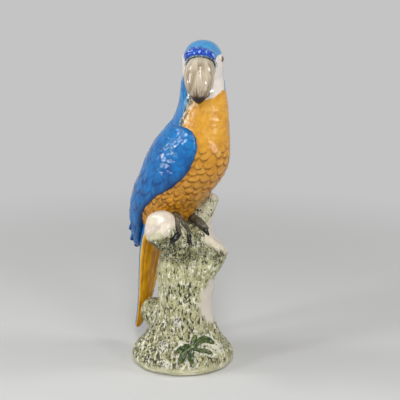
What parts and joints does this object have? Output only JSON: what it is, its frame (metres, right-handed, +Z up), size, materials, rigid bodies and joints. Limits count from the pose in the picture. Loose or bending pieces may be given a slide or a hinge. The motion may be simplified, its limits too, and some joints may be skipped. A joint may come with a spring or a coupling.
{
  "type": "parrot figurine",
  "caption": "Glazed ceramic parrot with folded wings and a long tail, perched on a tree stump with cut branches and a leaf at its foot.",
  "frame": {"origin": "middle of the bounding box, on the flat foot that the figurine stands on", "axes": "+Z up from the foot to the crown, -Y towards the viewer of the picture, +X to the viewer's right; the bird's breast points to -Y and +X"},
  "size_m": [0.126, 0.126, 0.3804],
  "materials": {
    "glaze": "glossy coloured glazes over white ware: blue, ochre, cream green, black and white"
  },
  "bodies": {
    "root": {"parrot_figurine": "glaze"}
  },
  "joints": []
}
